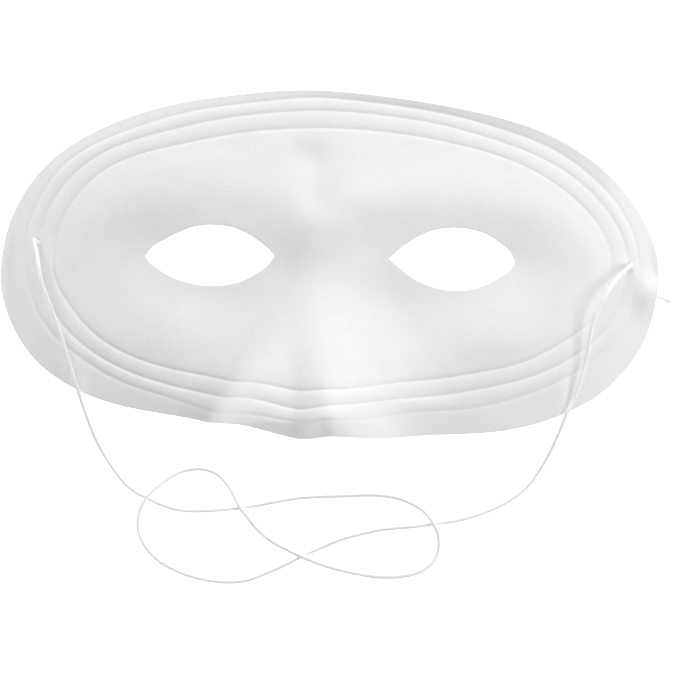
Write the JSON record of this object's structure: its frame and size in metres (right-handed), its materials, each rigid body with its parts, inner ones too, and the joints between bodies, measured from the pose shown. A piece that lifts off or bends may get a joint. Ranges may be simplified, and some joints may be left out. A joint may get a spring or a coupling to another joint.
{
  "type": "half mask with elastic cord",
  "caption": "Plain white moulded half mask with almond eye holes, a beaded rim, a nose ridge and a thin elastic cord knotted through two side holes.",
  "frame": {"origin": "under the middle of the shell, on the surface that its two tips rest on", "axes": "+X across the face to the viewer's right, +Y towards the forehead, +Z out of the face, away from the wearer"},
  "size_m": [0.1987, 0.1444, 0.0407],
  "materials": {
    "mask_sheet": "matte pressed non-woven fibre sheet, stiffened and moulded, white",
    "elastic": "thin round braided elastic, white, soft matte"
  },
  "bodies": {
    "root": {"mask_shell": "mask_sheet", "elastic_cord": "elastic", "left_knot": "elastic", "right_knot": "elastic", "left_cord_end": "elastic", "right_cord_end": "elastic"}
  },
  "joints": []
}
